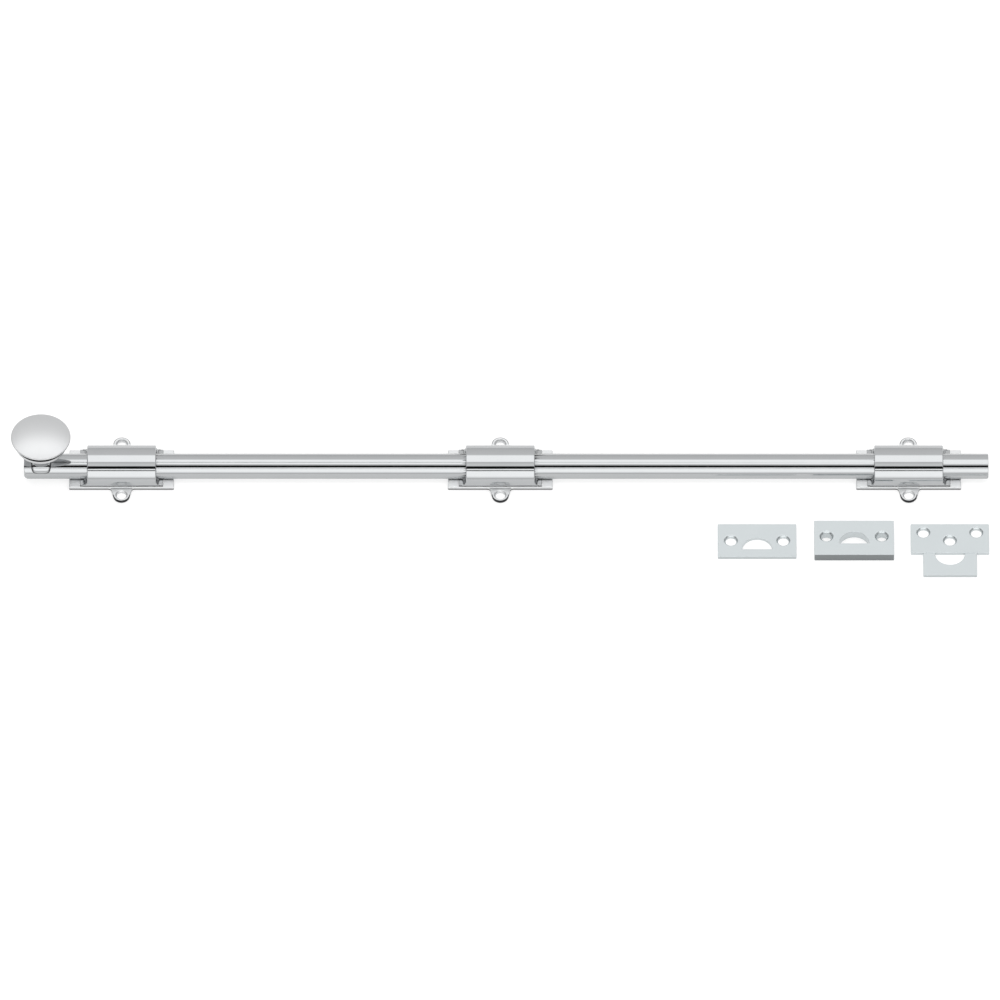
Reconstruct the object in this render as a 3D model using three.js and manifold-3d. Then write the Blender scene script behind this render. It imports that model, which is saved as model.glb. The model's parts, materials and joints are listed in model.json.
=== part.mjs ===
// A heavy-duty half-round surface bolt on three cast guides, with its three loose strikes.
// Millimetres, +Z up. The origin is the middle of the centre guide's mounting face, +X runs along
// the rod to its locking tip and +Z points out of the door face. The bolt is shown drawn back.

import * as THREE from "three";
import { mergeVertices } from "three/addons/utils/BufferGeometryUtils.js";
import Module from "manifold-3d";

const wasm = await Module();
wasm.setup();

// ---------------------------------------------------------------- driving dimensions

const THROW = 23.8;
const PRESS_GAP = 0.05;
const SLIP_GAP = 0.3;
const OVERCUT = 2;

const ROD_LENGTH = 660.4;
const ROD_RADIUS = 9.9;
const ROD_TIP_OUT = 334.2;
const ROD_TAIL_CORNER = 3.5;
const ROD_TIP_CORNER = 1.4;

const GUIDE_CENTRES = [-259.3, 0, 279.6];
const GUIDE_NAMES = ["tail", "centre", "tip"];

const PLATE_LENGTH = 71.8;
const PLATE_WIDTH = 33.4;
const PLATE_THICKNESS = 3.3;
const LUG_THICKNESS = 2.6;
const LUG_ROOT_HALF = 7.7;
const LUG_REACH = 6.05;
const LUG_RADIUS = 5.7;
const LUG_ROOT_FILLET = 1.4;

const LUG_HOLE = { radius: 3.3, sink: 4.2 };
const STRIKE_HOLE = { radius: 3.7, sink: 4.8 };
const SINK_LAND = 0.5;

// The saddle's arch is half an ellipse.
const SADDLE_LENGTH = 47.2;
const SADDLE_CREST_UP = 15.55;
// One side of the saddle's arch, from its crest down: each arc's radius and the slope it ends at.
const SADDLE_ARCH = [
  [15, 24.5],
  [36, 29],
  [12, 42.1],
  [32, 43.4],
  [17.5, 58],
  [11.05, 90],
];
const SADDLE_END_FILLET = 3.5;
const FOOT_LENGTH = 56.8;
const FOOT_WIDTH = 32.4;
const FOOT_THICKNESS = 0.8;
const CHANNEL_RADIUS = ROD_RADIUS + SLIP_GAP;
const ROD_LIFT = 0.5;

const SPRING_CENTRE = -14;
const SPRING_LENGTH = 30;
const SPRING_WIDTH = 7;
const SPRING_THICKNESS = 0.4;
const SPRING_POCKET_DEPTH = 1;
const SPRING_POCKET_CORNER = 1.5;
const SPRING_TOP_GAP = 0.15;

const GUIDE_SCREW_X = 16;
const GUIDE_SCREW_Y = 12.6;
const GUIDE_SCREW_RADIUS = 1.2;
const GUIDE_SCREW_HEAD = 2.3;
const GUIDE_SCREW_TOP = 8;
const GUIDE_SCREW_SLOT = { width: 0.6, top: 0.9 };

// Every screw's head stands this far in from the face it sinks into, on a rim this thick.
const HEAD_SUNK = 0.2;
const HEAD_RIM = 0.2;
const TIP_CHAMFER = 0.5;

const STOP_PIN_X = 29;
const STOP_PIN_RADIUS = 2;
const STOP_PIN_TOP = 6.6;
const STOP_SLOT_DEPTH = 3.4;

const KNOB_FROM_TAIL = 11.8;
// The knob's cap is a shallow dome with a rolled rim. Its underside slopes in to a crease, and a
// round-edged bowl hangs below the crease.
const KNOB_RIM_RADIUS = 20.4;
const KNOB_RIM_UP = 36.4;
const KNOB_ROLL_RADIUS = 0.7;
const KNOB_CAP_SLOPE = THREE.MathUtils.degToRad(22);
const KNOB_CREASE_RADIUS = 16.4;
const KNOB_CREASE_UP = 32;
const KNOB_BOWL_RADIUS = 17.8;
const KNOB_BOWL_TOP = 31.4;
const KNOB_BOWL_EDGE = 0.3;
const KNOB_BOWL_ROUND = 2.6;
const KNOB_BOWL_FOOT = 27.6;
const KNOB_FLARE_BELOW = 0.4;
const NECK_RADIUS = 6.2;
const NECK_FOOT_UP = 17;
const NECK_FLARE_UP = 20;

const COLLAR_RADIUS = 12.2;
const COLLAR_WRAP = THREE.MathUtils.degToRad(62);
const COLLAR_HALF_WIDTH = 6.8;
const COLLAR_CORNER = 2.6;

const KNOB_SCREW_RADIUS = 2.4;
const KNOB_SCREW_HEAD = 4.4;
const KNOB_SCREW_TOP = 29;
const KNOB_SCREW_SLOT = { width: 1, depth: 1 };

const STRIKE_BACK_EDGE = -49;
const STRIKE_CORNER = 0.6;
const FLAT_STRIKE = { x: 175.6, length: 53.8, width: 29.1, thickness: 2.5 };
const RAISED_STRIKE = { x: 241.9, length: 54.6, width: 30.4, thickness: 6.2 };
const TONGUE_STRIKE = { x: 307.4, length: 53.6, width: 25.5, thickness: 2.5 };
const TONGUE = { length: 36.8, width: 19.8, thickness: 2, overlap: 3 };
const HALF_MOON_RADIUS = 10.25;
const FLAT_STRIKE_SILL = 6.8;
const RAISED_STRIKE_SILL = 10.2;
const STRIKE_HOLE_HALF_PITCH = 17.9;
const RAISED_HOLE_HALF_PITCH = 18.9;
const STRIKE_HOLE_FROM_BACK = 14.6;
const RAISED_HOLE_FROM_BACK = 13.9;
const TONGUE_HOLE_HALF_PITCH = 18.1;
const TONGUE_HOLE_FROM_BACK = 7.4;
const TONGUE_MIDDLE_HOLE_FROM_BACK = 14.5;

// Straight sides on a full turn of a knob, a hole and a small screw, and on a half round.
const KNOB_SIDES = 40;
const HOLE_SIDES = 20;
const SCREW_SIDES = 12;
const HALF_ROUND_SIDES = 26;
// The most that one straight side of the saddle's arch turns from the last.
const ARCH_STEP = THREE.MathUtils.degToRad(8);

// ---------------------------------------------------------------- worked-out places

const ROD_BACK_UP = PLATE_THICKNESS + ROD_LIFT;
const ROD_TAIL = ROD_TIP_OUT - ROD_LENGTH;
const KNOB_X = ROD_TAIL + KNOB_FROM_TAIL;
const SADDLE_BASE_UP = PLATE_THICKNESS + PRESS_GAP;

// ---------------------------------------------------------------- materials

const CHROME = { color: 0xc9ced2, roughness: 0.1, metalness: 1 };
const SATIN_CHROME = { color: 0xc3c8cc, roughness: 0.22, metalness: 1 };
const STEEL = { color: 0x9aa0a5, roughness: 0.35, metalness: 1 };
const BRONZE = { color: 0xb98a4e, roughness: 0.35, metalness: 1 };

// ---------------------------------------------------------------- geometry helpers

const ALONG_X = new THREE.Matrix4().makeBasis(
  new THREE.Vector3(0, 1, 0),
  new THREE.Vector3(0, 0, 1),
  new THREE.Vector3(1, 0, 0),
);
const ALONG_Y = new THREE.Matrix4().makeBasis(
  new THREE.Vector3(1, 0, 0),
  new THREE.Vector3(0, 0, 1),
  new THREE.Vector3(0, -1, 0),
);

// A closed geometry as a manifold-3d solid.
function solid(geometry) {
  const bare = new THREE.BufferGeometry();
  bare.setAttribute("position", geometry.getAttribute("position"));
  bare.setIndex(geometry.index);
  const merged = mergeVertices(bare, 1e-4);
  return new wasm.Manifold(
    new wasm.Mesh({
      numProp: 3,
      vertProperties: new Float32Array(merged.attributes.position.array),
      triVerts: new Uint32Array(merged.index.array),
    }),
  );
}

// A manifold-3d solid as a named mesh with its own material.
function part(name, body, finish) {
  const { vertProperties, triVerts } = body.getMesh();
  const geometry = new THREE.BufferGeometry();
  geometry.setAttribute("position", new THREE.BufferAttribute(vertProperties, 3));
  geometry.setIndex(new THREE.BufferAttribute(triVerts, 1));
  geometry.computeVertexNormals();
  const mesh = new THREE.Mesh(geometry, new THREE.MeshStandardMaterial(finish));
  mesh.name = name;
  return mesh;
}

// A shape in X and Y, raised from z = low to z = high.
function slab(shape, low, high, curveSegments = 6) {
  const geometry = new THREE.ExtrudeGeometry(shape, {
    depth: high - low,
    bevelEnabled: false,
    curveSegments,
  });
  return solid(geometry.translate(0, 0, low));
}

// A shape in Y and Z, run along X from low to high.
function barAlongX(shape, low, high, curveSegments = HALF_ROUND_SIDES) {
  const geometry = new THREE.ExtrudeGeometry(shape, {
    depth: high - low,
    bevelEnabled: false,
    curveSegments,
  });
  return solid(geometry.translate(0, 0, low).applyMatrix4(ALONG_X));
}

// A shape in X and Z, run across Y, centred.
function barAcross(shape, width, curveSegments = 6) {
  const geometry = new THREE.ExtrudeGeometry(shape, {
    depth: width,
    bevelEnabled: false,
    curveSegments,
  });
  return solid(geometry.translate(0, 0, -width / 2).applyMatrix4(ALONG_Y));
}

// A profile of [radius, height] pairs, bottom to top, turned about a vertical axis at x, y.
function turned(profile, x, y, segments) {
  const points = profile.map(([r, z]) => new THREE.Vector2(r, z));
  const geometry = new THREE.LatheGeometry(points, segments);
  return solid(geometry.rotateX(Math.PI / 2).translate(x, y, 0));
}

function block(low, high) {
  const size = high.map((value, i) => value - low[i]);
  const geometry = new THREE.BoxGeometry(...size);
  return solid(geometry.translate(...low.map((value, i) => value + size[i] / 2)));
}

// A rectangle from x0, y0 to x1, y1 with one corner radius at its left and one at its right.
function roundedBox(x0, y0, x1, y1, left, right) {
  const shape = new THREE.Shape();
  shape.moveTo(x0 + left, y0);
  shape.lineTo(x1 - right, y0);
  shape.absarc(x1 - right, y0 + right, right, -Math.PI / 2, 0);
  shape.absarc(x1 - right, y1 - right, right, 0, Math.PI / 2);
  shape.lineTo(x0 + left, y1);
  shape.absarc(x0 + left, y1 - left, left, Math.PI / 2, Math.PI);
  shape.absarc(x0 + left, y0 + left, left, Math.PI, 1.5 * Math.PI);
  return shape;
}

// A half disc on a flat base at height base, with an optional skirt reaching down by drop.
function halfDisc(radius, base, drop = 0) {
  const shape = new THREE.Shape();
  if (drop) {
    shape.moveTo(-radius, base - drop);
    shape.lineTo(radius, base - drop);
  }
  shape.absarc(0, base, radius, 0, Math.PI);
  return shape;
}

// The tool for a countersunk wood-screw hole, from z = 0 to its mouth at height top.
function countersink(x, y, top, { radius, sink }) {
  const coneDepth = Math.min(sink - radius, top - SINK_LAND);
  const profile = [
    [0, -OVERCUT],
    [radius, -OVERCUT],
    [radius, top - coneDepth],
    [sink, top],
    [sink, top + OVERCUT],
    [0, top + OVERCUT],
  ];
  return turned(profile, x, y, HOLE_SIDES);
}

// ---------------------------------------------------------------- guides

// A plate with a tapered, round-ended screw lug at the middle of each long side. The outline runs
// round plate and lugs together.
function plateOutline() {
  const halfLength = PLATE_LENGTH / 2;
  const halfWidth = PLATE_WIDTH / 2;
  const rootToHole = Math.hypot(LUG_ROOT_HALF, LUG_REACH);
  const tangent = Math.acos(LUG_RADIUS / rootToHole) - Math.atan2(LUG_REACH, LUG_ROOT_HALF);
  const rootX = LUG_ROOT_HALF + LUG_ROOT_FILLET;
  const flankX = LUG_ROOT_HALF - LUG_ROOT_FILLET / 2;
  const flankY = halfWidth + LUG_ROOT_FILLET;
  const shape = new THREE.Shape();
  shape.moveTo(halfLength, -halfWidth);
  for (const side of [1, -1]) {
    const from = side > 0 ? tangent : tangent + Math.PI;
    const edge = side * halfWidth;
    shape.lineTo(side * halfLength, edge);
    shape.lineTo(side * rootX, edge);
    shape.quadraticCurveTo(side * LUG_ROOT_HALF, edge, side * flankX, side * flankY);
    shape.absarc(0, side * (halfWidth + LUG_REACH), LUG_RADIUS, from, from + Math.PI - 2 * tangent);
    shape.lineTo(-side * flankX, side * flankY);
    shape.quadraticCurveTo(-side * LUG_ROOT_HALF, edge, -side * rootX, edge);
    shape.lineTo(-side * halfLength, edge);
  }
  return shape;
}

function guideScrewPlaces() {
  const places = [];
  for (const x of [-GUIDE_SCREW_X, GUIDE_SCREW_X])
    for (const y of [-GUIDE_SCREW_Y, GUIDE_SCREW_Y]) places.push([x, y]);
  return places;
}

// The clearance that a guide screw needs in the plate and the saddle above it.
function guideScrewHole([x, y]) {
  const head = GUIDE_SCREW_HEAD + SLIP_GAP;
  const shank = GUIDE_SCREW_RADIUS + SLIP_GAP;
  const profile = [
    [0, -OVERCUT],
    [head, -OVERCUT],
    [head, SLIP_GAP],
    [shank, SLIP_GAP + head - shank],
    [shank, GUIDE_SCREW_TOP + SLIP_GAP],
    [0, GUIDE_SCREW_TOP + SLIP_GAP],
  ];
  return turned(profile, x, y, SCREW_SIDES);
}

function guideBase(hasStop) {
  const halfLength = PLATE_LENGTH / 2;
  const halfWidth = PLATE_WIDTH / 2;
  const raised = block([-halfLength, -halfWidth, 0], [halfLength, halfWidth, PLATE_THICKNESS]);
  let body = slab(plateOutline(), 0, LUG_THICKNESS).add(raised);
  for (const side of [-1, 1]) {
    const y = side * (halfWidth + LUG_REACH);
    body = body.subtract(countersink(0, y, LUG_THICKNESS, LUG_HOLE));
  }
  for (const place of guideScrewPlaces()) body = body.subtract(guideScrewHole(place));
  const half = SPRING_LENGTH / 2 + SLIP_GAP + 1;
  const pocket = roundedBox(
    SPRING_CENTRE - half,
    -SPRING_WIDTH / 2 - SLIP_GAP,
    SPRING_CENTRE + half,
    SPRING_WIDTH / 2 + SLIP_GAP,
    SPRING_POCKET_CORNER,
    SPRING_POCKET_CORNER,
  );
  const floor = PLATE_THICKNESS - SPRING_POCKET_DEPTH;
  body = body.subtract(slab(pocket, floor, PLATE_THICKNESS + OVERCUT, 2));
  if (!hasStop) return body;
  const bore = STOP_PIN_RADIUS + PRESS_GAP;
  const profile = [
    [0, -OVERCUT],
    [bore, -OVERCUT],
    [bore, PLATE_THICKNESS + OVERCUT],
    [0, PLATE_THICKNESS + OVERCUT],
  ];
  return body.subtract(turned(profile, STOP_PIN_X, 0, HOLE_SIDES));
}

// The saddle seen from the front: a barrel between two fillets, on a thin foot.
function saddleFront() {
  const foot = FOOT_LENGTH / 2;
  const end = SADDLE_LENGTH / 2;
  const footTop = SADDLE_BASE_UP + FOOT_THICKNESS;
  const filletTop = footTop + SADDLE_END_FILLET;
  const crest = SADDLE_BASE_UP + SADDLE_CREST_UP + OVERCUT;
  const filletX = end + SADDLE_END_FILLET;
  const shape = new THREE.Shape();
  shape.moveTo(-foot, SADDLE_BASE_UP);
  shape.lineTo(foot, SADDLE_BASE_UP);
  shape.lineTo(foot, footTop);
  shape.absarc(filletX, filletTop, SADDLE_END_FILLET, -Math.PI / 2, -Math.PI, true);
  shape.lineTo(end, crest);
  shape.lineTo(-end, crest);
  shape.absarc(-filletX, filletTop, SADDLE_END_FILLET, 0, -Math.PI / 2, true);
  shape.lineTo(-foot, footTop);
  return shape;
}

// One side of the arch, from its crest down to its upright side, as places across and up.
function saddleArch() {
  let across = 0;
  let up = SADDLE_CREST_UP;
  let slope = 0;
  const points = [[across, up]];
  for (const [radius, degrees] of SADDLE_ARCH) {
    const end = THREE.MathUtils.degToRad(degrees);
    const centreAcross = across - radius * Math.sin(slope);
    const centreUp = up - radius * Math.cos(slope);
    const steps = Math.ceil((end - slope) / ARCH_STEP);
    for (let i = 1; i <= steps; i++) {
      const angle = slope + ((end - slope) * i) / steps;
      across = centreAcross + radius * Math.sin(angle);
      up = centreUp + radius * Math.cos(angle);
      points.push([across, up]);
    }
    slope = end;
  }
  return points;
}

// The saddle seen from its end: an arch on short straight sides, on a thin foot.
function saddleEnd() {
  const foot = FOOT_WIDTH / 2;
  const footTop = SADDLE_BASE_UP + FOOT_THICKNESS;
  const arch = saddleArch();
  const side = arch.at(-1)[0];
  const shape = new THREE.Shape();
  shape.moveTo(-foot, SADDLE_BASE_UP);
  shape.lineTo(foot, SADDLE_BASE_UP);
  shape.lineTo(foot, footTop);
  shape.lineTo(side, footTop);
  for (const [across, up] of [...arch].reverse()) shape.lineTo(across, SADDLE_BASE_UP + up);
  for (const [across, up] of arch.slice(1)) shape.lineTo(-across, SADDLE_BASE_UP + up);
  shape.lineTo(-side, footTop);
  shape.lineTo(-foot, footTop);
  return shape;
}

function guideSaddle() {
  const reach = FOOT_LENGTH / 2 + OVERCUT;
  const channel = halfDisc(CHANNEL_RADIUS, ROD_BACK_UP, ROD_LIFT + OVERCUT);
  let body = barAcross(saddleFront(), FOOT_WIDTH + OVERCUT)
    .intersect(barAlongX(saddleEnd(), -reach, reach))
    .subtract(barAlongX(channel, -reach, reach));
  for (const place of guideScrewPlaces()) body = body.subtract(guideScrewHole(place));
  return body;
}

// A bowed strip that presses on the rod's flat back.
function frictionSpring() {
  const half = SPRING_LENGTH / 2;
  const low = PLATE_THICKNESS - SPRING_POCKET_DEPTH + PRESS_GAP;
  const rise = ROD_BACK_UP - SPRING_TOP_GAP - SPRING_THICKNESS - low;
  const radius = (half * half + rise * rise) / (2 * rise);
  const spread = Math.asin(half / radius);
  const centre = low + rise - radius;
  const up = Math.PI / 2;
  const shape = new THREE.Shape();
  shape.absarc(0, centre, radius, up + spread, up - spread, true);
  shape.absarc(0, centre, radius + SPRING_THICKNESS, up - spread, up + spread);
  return barAcross(shape, SPRING_WIDTH, 10);
}

function guideScrew() {
  const cone = HEAD_SUNK + HEAD_RIM;
  const profile = [
    [0, HEAD_SUNK],
    [GUIDE_SCREW_HEAD, HEAD_SUNK],
    [GUIDE_SCREW_HEAD, cone],
    [GUIDE_SCREW_RADIUS, cone + GUIDE_SCREW_HEAD - GUIDE_SCREW_RADIUS],
    [GUIDE_SCREW_RADIUS, GUIDE_SCREW_TOP - TIP_CHAMFER],
    [GUIDE_SCREW_RADIUS - TIP_CHAMFER, GUIDE_SCREW_TOP],
    [0, GUIDE_SCREW_TOP],
  ];
  const reach = 2 * GUIDE_SCREW_HEAD;
  const half = GUIDE_SCREW_SLOT.width / 2;
  const slot = block([-reach, -half, 0], [reach, half, GUIDE_SCREW_SLOT.top]);
  return turned(profile, 0, 0, SCREW_SIDES).subtract(slot);
}

function stopPin() {
  const profile = [
    [0, SLIP_GAP],
    [STOP_PIN_RADIUS, SLIP_GAP],
    [STOP_PIN_RADIUS, STOP_PIN_TOP - TIP_CHAMFER],
    [STOP_PIN_RADIUS - TIP_CHAMFER, STOP_PIN_TOP],
    [0, STOP_PIN_TOP],
  ];
  return turned(profile, 0, 0, HOLE_SIDES);
}

function guide(name, centre) {
  const group = new THREE.Group();
  group.position.x = centre;
  const hasStop = name === "centre";
  group.add(part(`${name}_guide_base`, guideBase(hasStop), CHROME));
  group.add(part(`${name}_guide_saddle`, guideSaddle(), CHROME));
  const spring = part(`${name}_friction_spring`, frictionSpring(), BRONZE);
  spring.position.x = SPRING_CENTRE;
  group.add(spring);
  guideScrewPlaces().forEach(([x, y], i) => {
    const screw = part(`${name}_guide_screw_${i + 1}`, guideScrew(), STEEL);
    screw.position.set(x, y, 0);
    group.add(screw);
  });
  if (hasStop) {
    const pin = part("stop_pin", stopPin(), STEEL);
    pin.position.x = STOP_PIN_X;
    group.add(pin);
  }
  return group;
}

// ---------------------------------------------------------------- the sliding bolt

// The half-round rod, with the stop slot in its flat back and a countersunk hole for the knob screw.
function boltRod() {
  const outline = roundedBox(
    ROD_TAIL,
    -ROD_RADIUS,
    ROD_TIP_OUT,
    ROD_RADIUS,
    ROD_TAIL_CORNER,
    ROD_TIP_CORNER,
  );
  const section = halfDisc(ROD_RADIUS, ROD_BACK_UP);
  const top = ROD_BACK_UP + ROD_RADIUS;
  const slotHalf = STOP_PIN_RADIUS + SLIP_GAP;
  const slot = roundedBox(
    STOP_PIN_X - THROW - slotHalf,
    -slotHalf,
    STOP_PIN_X + slotHalf,
    slotHalf,
    slotHalf - 0.01,
    slotHalf - 0.01,
  );
  return barAlongX(section, ROD_TAIL - OVERCUT, ROD_TIP_OUT + OVERCUT)
    .intersect(slab(outline, ROD_BACK_UP - OVERCUT, top + OVERCUT, 4))
    .subtract(slab(slot, ROD_BACK_UP - OVERCUT, ROD_BACK_UP + STOP_SLOT_DEPTH))
    .subtract(knobScrewRoom(top + OVERCUT));
}

// The room that the knob screw needs, from the rod's back up to a height.
function knobScrewRoom(top) {
  const head = KNOB_SCREW_HEAD + SLIP_GAP;
  const shank = KNOB_SCREW_RADIUS + SLIP_GAP;
  const profile = [
    [0, ROD_BACK_UP - OVERCUT],
    [head, ROD_BACK_UP - OVERCUT],
    [head, ROD_BACK_UP + SLIP_GAP],
    [shank, ROD_BACK_UP + SLIP_GAP + head - shank],
    [shank, top],
    [0, top],
  ];
  return turned(profile, KNOB_X, 0, HOLE_SIDES);
}

function knobScrew() {
  const base = ROD_BACK_UP + HEAD_SUNK;
  const cone = base + HEAD_RIM;
  const profile = [
    [0, base],
    [KNOB_SCREW_HEAD, base],
    [KNOB_SCREW_HEAD, cone],
    [KNOB_SCREW_RADIUS, cone + KNOB_SCREW_HEAD - KNOB_SCREW_RADIUS],
    [KNOB_SCREW_RADIUS, KNOB_SCREW_TOP - TIP_CHAMFER],
    [KNOB_SCREW_RADIUS - TIP_CHAMFER, KNOB_SCREW_TOP],
    [0, KNOB_SCREW_TOP],
  ];
  const reach = 2 * KNOB_SCREW_HEAD;
  const half = KNOB_SCREW_SLOT.width / 2;
  const slot = block([-reach, -half, 0], [reach, half, base + KNOB_SCREW_SLOT.depth]);
  return turned(profile, 0, 0, HOLE_SIDES).subtract(slot);
}

// A strap that hugs the rod's round face, with a boss on top for the knob's neck.
function knobCollar() {
  const inner = ROD_RADIUS + SLIP_GAP;
  const up = Math.PI / 2;
  const strap = new THREE.Shape();
  strap.absarc(0, ROD_BACK_UP, COLLAR_RADIUS, up - COLLAR_WRAP, up + COLLAR_WRAP);
  strap.absarc(0, ROD_BACK_UP, inner, up + COLLAR_WRAP, up - COLLAR_WRAP, true);
  const plan = roundedBox(
    KNOB_X - COLLAR_HALF_WIDTH,
    -COLLAR_RADIUS,
    KNOB_X + COLLAR_HALF_WIDTH,
    COLLAR_RADIUS,
    COLLAR_CORNER,
    COLLAR_CORNER,
  );
  const reach = COLLAR_HALF_WIDTH + OVERCUT;
  const top = NECK_FOOT_UP - PRESS_GAP;
  const boss = turned(
    [
      [0, ROD_BACK_UP + inner - 1],
      [NECK_RADIUS - 0.01, ROD_BACK_UP + inner - 3],
      [NECK_RADIUS - 0.01, top],
      [0, top],
    ],
    KNOB_X,
    0,
    KNOB_SIDES,
  );
  const room = barAlongX(halfDisc(inner, ROD_BACK_UP, 1), KNOB_X - reach, KNOB_X + reach, 18);
  return barAlongX(strap, KNOB_X - reach, KNOB_X + reach, 14)
    .intersect(slab(plan, ROD_BACK_UP, NECK_FOOT_UP, 3))
    .add(boss)
    .subtract(room)
    .subtract(knobScrewRoom(NECK_FOOT_UP + OVERCUT));
}

// A mushroom knob: a neck that flares into a round-edged bowl, a crease, and a shallow rolled cap.
function knobProfile() {
  const bowlCentre = KNOB_BOWL_RADIUS - KNOB_BOWL_ROUND;
  const flare = new THREE.QuadraticBezierCurve(
    new THREE.Vector2(NECK_RADIUS, NECK_FLARE_UP),
    new THREE.Vector2(NECK_RADIUS, KNOB_BOWL_FOOT - KNOB_FLARE_BELOW),
    new THREE.Vector2(bowlCentre, KNOB_BOWL_FOOT),
  );
  const profile = [[0, NECK_FOOT_UP], [NECK_RADIUS, NECK_FOOT_UP]];
  for (const p of flare.getPoints(7)) profile.push([p.x, p.y]);
  for (let i = 1; i <= 4; i++) {
    const angle = (Math.PI / 2) * (i / 4 - 1);
    const radius = bowlCentre + KNOB_BOWL_ROUND * Math.cos(angle);
    profile.push([radius, KNOB_BOWL_FOOT + KNOB_BOWL_ROUND * (1 + Math.sin(angle))]);
  }
  profile.push([KNOB_BOWL_RADIUS, KNOB_BOWL_TOP - KNOB_BOWL_EDGE]);
  profile.push([KNOB_BOWL_RADIUS - KNOB_BOWL_EDGE, KNOB_BOWL_TOP]);
  profile.push([KNOB_CREASE_RADIUS, KNOB_BOWL_TOP]);
  profile.push([KNOB_CREASE_RADIUS, KNOB_CREASE_UP]);
  const rollCentre = KNOB_RIM_RADIUS - KNOB_ROLL_RADIUS;
  const rollFrom = -Math.PI / 3;
  const rollTo = Math.PI / 2 - KNOB_CAP_SLOPE;
  for (let i = 0; i <= 4; i++) {
    const angle = rollFrom + ((rollTo - rollFrom) * i) / 4;
    const radius = rollCentre + KNOB_ROLL_RADIUS * Math.cos(angle);
    profile.push([radius, KNOB_RIM_UP + KNOB_ROLL_RADIUS * Math.sin(angle)]);
  }
  const [capRadius, capFoot] = profile.at(-1);
  const capSphere = capRadius / Math.sin(KNOB_CAP_SLOPE);
  const capCentre = capFoot - capSphere * Math.cos(KNOB_CAP_SLOPE);
  for (let i = 5; i >= 0; i--) {
    const slope = (KNOB_CAP_SLOPE * i) / 6;
    profile.push([capSphere * Math.sin(slope), capCentre + capSphere * Math.cos(slope)]);
  }
  return profile;
}

function knob() {
  const screwRoom = knobScrewRoom(KNOB_SCREW_TOP + SLIP_GAP);
  return turned(knobProfile(), KNOB_X, 0, KNOB_SIDES).subtract(screwRoom);
}

function slidingBolt() {
  const group = new THREE.Group();
  group.add(part("bolt_rod", boltRod(), CHROME));
  group.add(part("knob_collar", knobCollar(), CHROME));
  group.add(part("knob", knob(), CHROME));
  const screw = part("knob_screw", knobScrew(), STEEL);
  screw.position.x = KNOB_X;
  group.add(screw);
  return group;
}

// ---------------------------------------------------------------- strikes

// A half-moon window that the rod's tip enters, its flat side at y = sill.
function halfMoon(x, sill, side, height) {
  const shape = new THREE.Shape();
  const from = side > 0 ? 0 : Math.PI;
  shape.absarc(x, sill, HALF_MOON_RADIUS, from, from + Math.PI);
  return slab(shape, -OVERCUT, height + OVERCUT, 20);
}

function strikeOutline({ x, length, width }) {
  const front = STRIKE_BACK_EDGE - width;
  const half = length / 2;
  return roundedBox(x - half, front, x + half, STRIKE_BACK_EDGE, STRIKE_CORNER, STRIKE_CORNER);
}

// A rectangular strike with a half-moon window and a countersunk hole at either side of it.
function plateStrike(size, sillFromFront, halfPitch, holeFromBack) {
  const { x, width, thickness } = size;
  const sill = STRIKE_BACK_EDGE - width + sillFromFront;
  const holeY = STRIKE_BACK_EDGE - holeFromBack;
  return slab(strikeOutline(size), 0, thickness, 2)
    .subtract(halfMoon(x, sill, 1, thickness))
    .subtract(countersink(x - halfPitch, holeY, thickness, STRIKE_HOLE))
    .subtract(countersink(x + halfPitch, holeY, thickness, STRIKE_HOLE));
}

// A three-hole strike whose thinner tongue holds the half-moon window against the plate's edge.
function tongueStrike() {
  const { x, width, thickness } = TONGUE_STRIKE;
  const front = STRIKE_BACK_EDGE - width;
  const half = TONGUE.length / 2;
  const tongue = roundedBox(
    x - half,
    front - TONGUE.width,
    x + half,
    front + TONGUE.overlap,
    STRIKE_CORNER,
    STRIKE_CORNER,
  );
  const holes = [
    [-TONGUE_HOLE_HALF_PITCH, TONGUE_HOLE_FROM_BACK],
    [0, TONGUE_MIDDLE_HOLE_FROM_BACK],
    [TONGUE_HOLE_HALF_PITCH, TONGUE_HOLE_FROM_BACK],
  ];
  let body = slab(strikeOutline(TONGUE_STRIKE), 0, thickness, 2)
    .add(slab(tongue, 0, TONGUE.thickness, 2))
    .subtract(halfMoon(x, front, -1, thickness));
  for (const [across, back] of holes) {
    const y = STRIKE_BACK_EDGE - back;
    body = body.subtract(countersink(x + across, y, thickness, STRIKE_HOLE));
  }
  return body;
}

function strikes() {
  const flat = plateStrike(
    FLAT_STRIKE,
    FLAT_STRIKE_SILL,
    STRIKE_HOLE_HALF_PITCH,
    STRIKE_HOLE_FROM_BACK,
  );
  const raised = plateStrike(
    RAISED_STRIKE,
    RAISED_STRIKE_SILL,
    RAISED_HOLE_HALF_PITCH,
    RAISED_HOLE_FROM_BACK,
  );
  const group = new THREE.Group();
  group.add(part("flat_strike", flat, SATIN_CHROME));
  group.add(part("raised_strike", raised, SATIN_CHROME));
  group.add(part("tongue_strike", tongueStrike(), SATIN_CHROME));
  return group;
}

// ---------------------------------------------------------------- the whole set

const surfaceBolt = new THREE.Group();
GUIDE_CENTRES.forEach((centre, i) => surfaceBolt.add(guide(GUIDE_NAMES[i], centre)));
surfaceBolt.add(slidingBolt(), strikes());

export default surfaceBolt;
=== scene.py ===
"""A half-round surface bolt with three guides and three loose strikes, in polished chrome.

Every CAD node is stood for by a finer piece of the same size: true rounds in place of facets,
eased edges, turned and drilled details, and procedural metals. Lengths are in metres.
"""

import json
import math

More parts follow.
